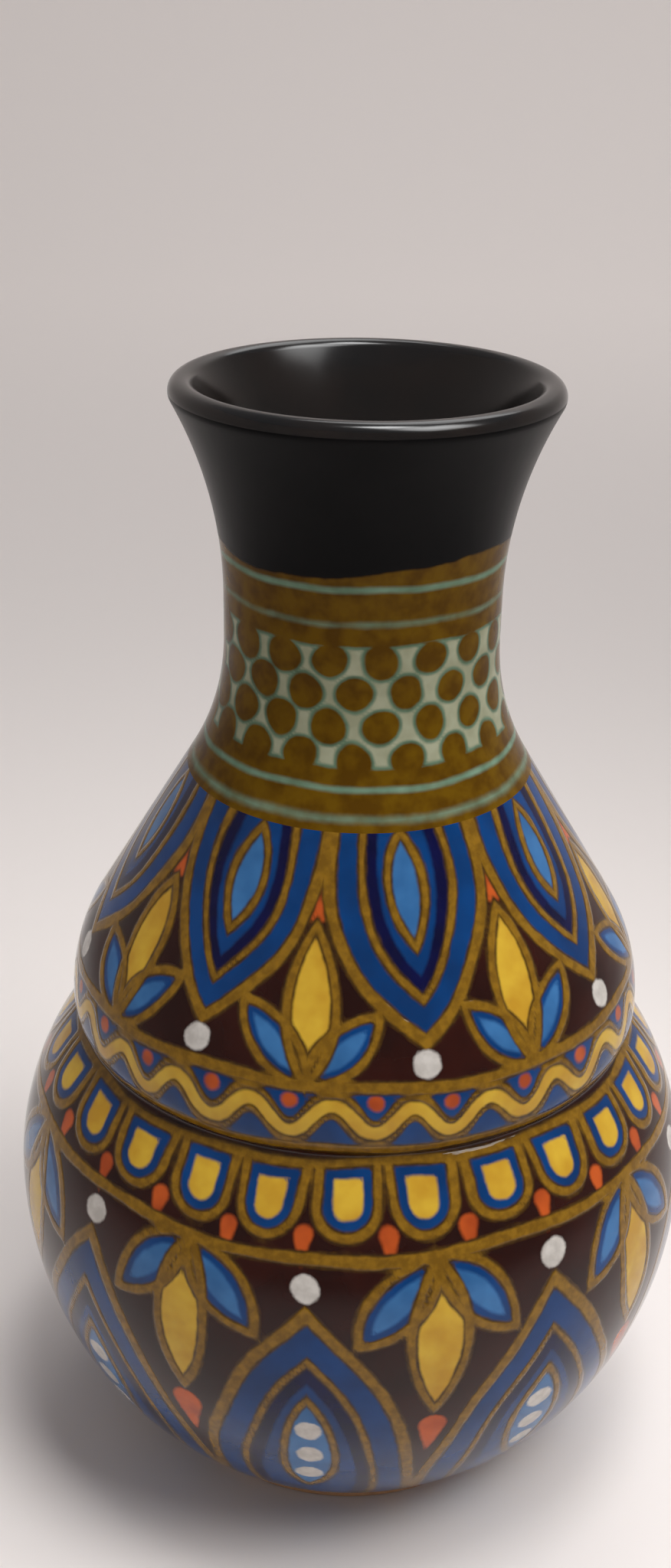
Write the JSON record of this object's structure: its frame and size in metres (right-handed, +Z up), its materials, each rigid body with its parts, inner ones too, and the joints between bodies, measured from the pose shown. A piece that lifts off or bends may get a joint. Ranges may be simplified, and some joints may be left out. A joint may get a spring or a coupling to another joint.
{
  "type": "ceramic vase",
  "caption": "Glazed pottery vase with two stacked bulbs, a grooved waist, a banded drawn-in neck and a flared black mouth with a round lip.",
  "frame": {"origin": "centre of the foot ring, on the surface that the vase stands on", "axes": "+Z up along the axis that the vase is turned about; -Y is the side that the picture shows"},
  "size_m": [0.112, 0.112, 0.1822],
  "materials": {
    "clay_body": "unglazed fired earthenware",
    "black_glaze": "satin black glaze",
    "painted_glaze": "painted under a clear gloss glaze",
    "olive_glaze": "semi-gloss olive-brown glaze",
    "mint_glaze": "semi-gloss mint glaze",
    "pale_glaze": "semi-gloss pale mint glaze"
  },
  "bodies": {
    "root": {"foot_ring": "clay_body", "base_disc": "clay_body", "lower_bulb": "clay_body", "waist_slip": "clay_body", "upper_bulb": "clay_body", "neck_slip": "clay_body", "neck": "clay_body", "base_glaze": "black_glaze", "lower_bulb_glaze": "painted_glaze", "upper_bulb_glaze": "painted_glaze", "olive_band_glaze": "olive_glaze", "mint_line_glaze": "mint_glaze", "net_band_glaze": "pale_glaze", "rim_glaze": "black_glaze", "inner_glaze": "black_glaze"}
  },
  "joints": []
}
